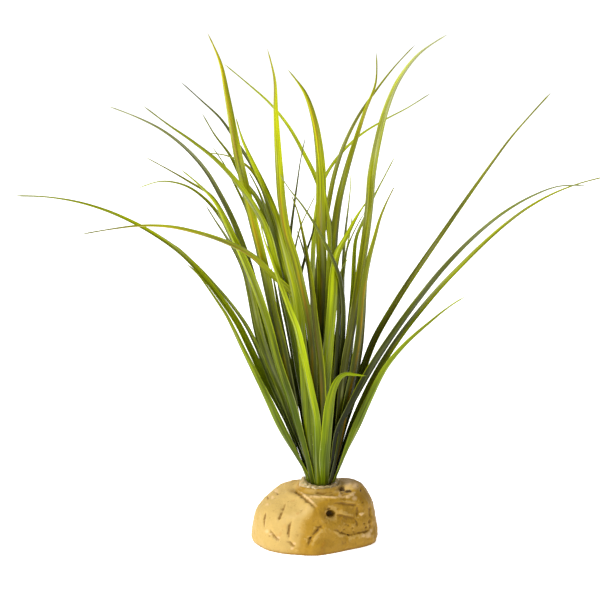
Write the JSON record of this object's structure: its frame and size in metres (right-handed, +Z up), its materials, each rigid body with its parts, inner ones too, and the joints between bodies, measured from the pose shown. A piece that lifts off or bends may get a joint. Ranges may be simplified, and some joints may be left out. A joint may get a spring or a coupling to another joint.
{
  "type": "artificial turtle grass aquarium plant on a cast-resin rock base",
  "caption": "Artificial turtle grass for an aquarium: a tuft of long folded plastic blades set in hot glue on a heavy cast-resin rock with a flat underside.",
  "frame": {"origin": "centre of the rock base's flat underside, on the surface it stands on", "axes": "+Z up, +X to the right and -Y towards somebody who looks at the front of the tuft"},
  "size_m": [0.3484, 0.1483, 0.3115],
  "materials": {
    "cast_resin": "matt cast polyresin rock in ochre yellow, with a brown wash left in its cracks and pits",
    "hot_glue": "cloudy hot-melt glue, lumpy and slightly shiny",
    "blade_lime": "soft satin polyethylene, lime green with a yellow to orange tint along the middle",
    "blade_green": "soft satin polyethylene, mid green, darker at the foot",
    "blade_olive": "soft satin polyethylene, olive with a brown tint",
    "blade_dark": "soft satin polyethylene, dark green to nearly black",
    "blade_pale": "soft satin polyethylene, pale grey-green and slightly milky",
    "blade_straw": "soft satin polyethylene, pale straw green with a darker edge"
  },
  "bodies": {
    "root": {"rock_base": "cast_resin", "glue_collar": "hot_glue", "blade_01": "blade_green", "blade_02": "blade_green", "blade_03": "blade_olive", "blade_04": "blade_lime", "blade_05": "blade_green", "blade_06": "blade_olive", "blade_07": "blade_lime", "blade_08": "blade_pale", "blade_09": "blade_pale", "blade_10": "blade_green", "blade_11": "blade_green", "blade_12": "blade_olive", "blade_13": "blade_green", "blade_14": "blade_dark", "blade_15": "blade_lime", "blade_16": "blade_green", "blade_17": "blade_lime", "blade_18": "blade_lime", "blade_19": "blade_green", "blade_20": "blade_dark", "blade_21": "blade_dark", "blade_22": "blade_pale", "blade_23": "blade_pale", "blade_24": "blade_lime", "blade_25": "blade_green", "blade_26": "blade_olive", "blade_27": "blade_olive", "blade_28": "blade_dark", "blade_29": "blade_lime", "blade_30": "blade_straw", "blade_31": "blade_green", "blade_32": "blade_pale", "blade_33": "blade_green", "blade_34": "blade_lime", "blade_35": "blade_lime", "blade_36": "blade_olive", "blade_37": "blade_dark", "blade_38": "blade_dark", "blade_39": "blade_dark", "blade_40": "blade_olive", "blade_41": "blade_green", "blade_42": "blade_lime", "blade_43": "blade_lime", "blade_44": "blade_dark", "blade_45": "blade_olive", "blade_46": "blade_dark", "blade_47": "blade_dark", "blade_48": "blade_green", "blade_49": "blade_dark", "blade_50": "blade_dark", "blade_51": "blade_dark", "blade_52": "blade_green", "blade_53": "blade_dark"}
  },
  "joints": []
}
